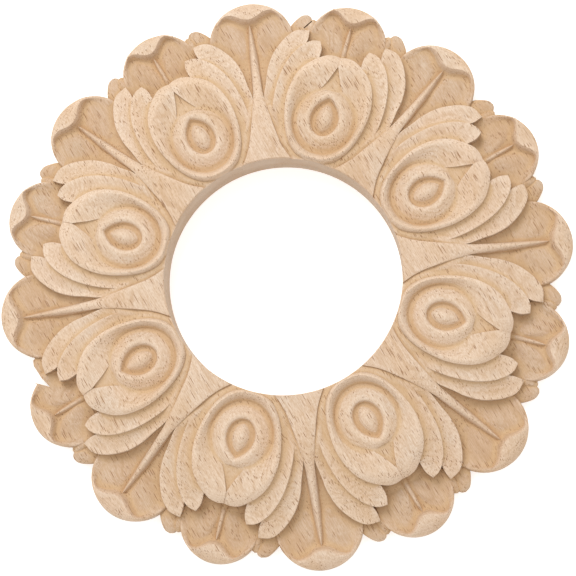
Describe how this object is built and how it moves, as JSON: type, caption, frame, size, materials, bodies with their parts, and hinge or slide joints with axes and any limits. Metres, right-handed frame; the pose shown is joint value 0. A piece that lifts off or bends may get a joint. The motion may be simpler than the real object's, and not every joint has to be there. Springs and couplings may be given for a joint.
{
  "type": "ceiling medallion",
  "caption": "Round pierced wooden ceiling medallion, a carved ring of rosebuds and leaves inside a lobed rim, to fix flat round a light fitting.",
  "frame": {"origin": "centre of the hole in the plane of the flat back, where the ring meets the ceiling", "axes": "+Z out of the carved face, +X through a rosebud, +Y along the grain. Turned over, so that +Z points down, it lies against a ceiling"},
  "size_m": [0.2998, 0.2998, 0.0255],
  "materials": {
    "wood": "raw sanded rubberwood, unfinished"
  },
  "bodies": {
    "root": {"medallion": "wood"}
  },
  "joints": []
}
